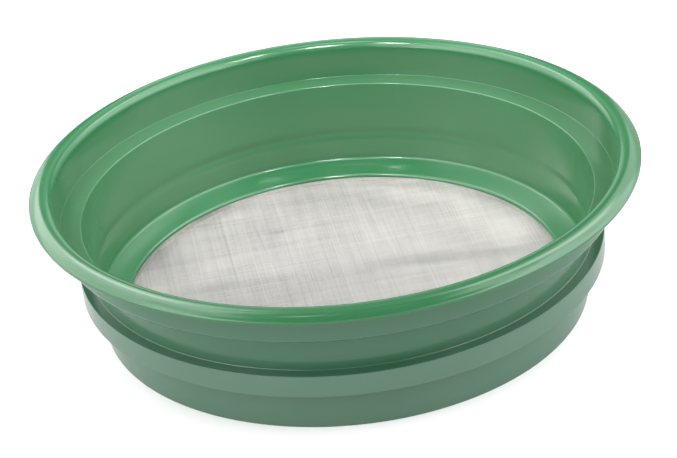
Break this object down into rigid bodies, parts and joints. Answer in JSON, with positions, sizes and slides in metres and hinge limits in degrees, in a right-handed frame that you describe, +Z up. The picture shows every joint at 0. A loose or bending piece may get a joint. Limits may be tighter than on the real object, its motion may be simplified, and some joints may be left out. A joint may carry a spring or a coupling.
{
  "type": "stackable sifting pan",
  "caption": "Round stackable sifting pan: a stepped moulded plastic bowl with a rolled rim, a seating band round the outside and a fine woven wire screen for a floor.",
  "frame": {"origin": "centre of the bottom edge's plane, where the pan stands on a flat surface", "axes": "+Z up out of the open top, along the pan's axis of revolution; the pan is round, so X and Y are free"},
  "size_m": [0.3364, 0.3364, 0.0852],
  "materials": {
    "green_plastic": "semi-gloss injection-moulded plastic",
    "ring_plastic": "semi-gloss injection-moulded plastic",
    "wire_cloth": "woven stainless wire"
  },
  "bodies": {
    "root": {"pan_body": "green_plastic", "screen_cloth": "wire_cloth", "screen_clamp_ring": "ring_plastic"}
  },
  "joints": []
}
